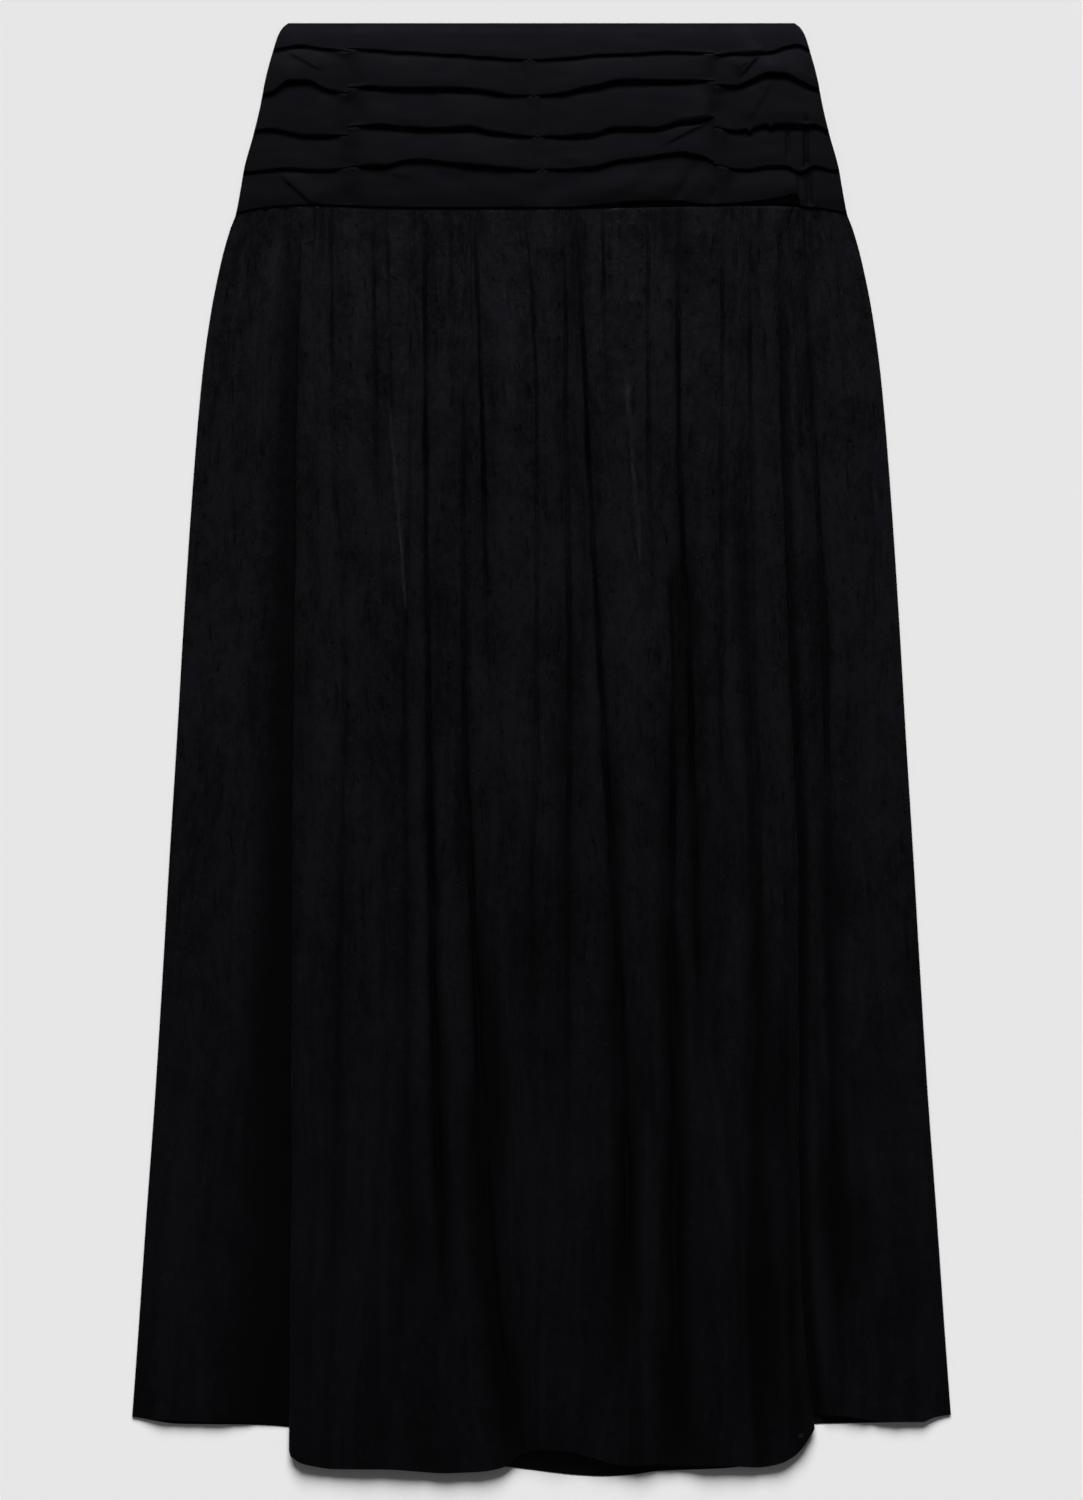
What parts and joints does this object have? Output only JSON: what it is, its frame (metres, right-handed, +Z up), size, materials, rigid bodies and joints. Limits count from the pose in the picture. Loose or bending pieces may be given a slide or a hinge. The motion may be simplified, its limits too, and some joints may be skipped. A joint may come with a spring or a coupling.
{
  "type": "skirt",
  "caption": "Full-length skirt laid flat, front up: a fitted yoke with crosswise tucks above a gathered tonal jacquard skirt whose middle folds over its sides",
  "frame": {"origin": "under the middle of the laid-out skirt, on the surface it lies on", "axes": "X to the right across the front as seen from above, Y along the skirt towards the waist, Z up away from the surface"},
  "size_m": [0.5456, 0.9684, 0.0111],
  "materials": {
    "yoke_crepe": "plain black crepe, soft, nearly matt",
    "skirt_jacquard": "crinkled black tonal jacquard with faint satin motifs"
  },
  "bodies": {
    "root": {"yoke_front_left": "yoke_crepe", "yoke_front_centre": "yoke_crepe", "yoke_front_right": "yoke_crepe", "yoke_back": "yoke_crepe", "skirt_front": "skirt_jacquard", "skirt_back": "skirt_jacquard"}
  },
  "joints": []
}
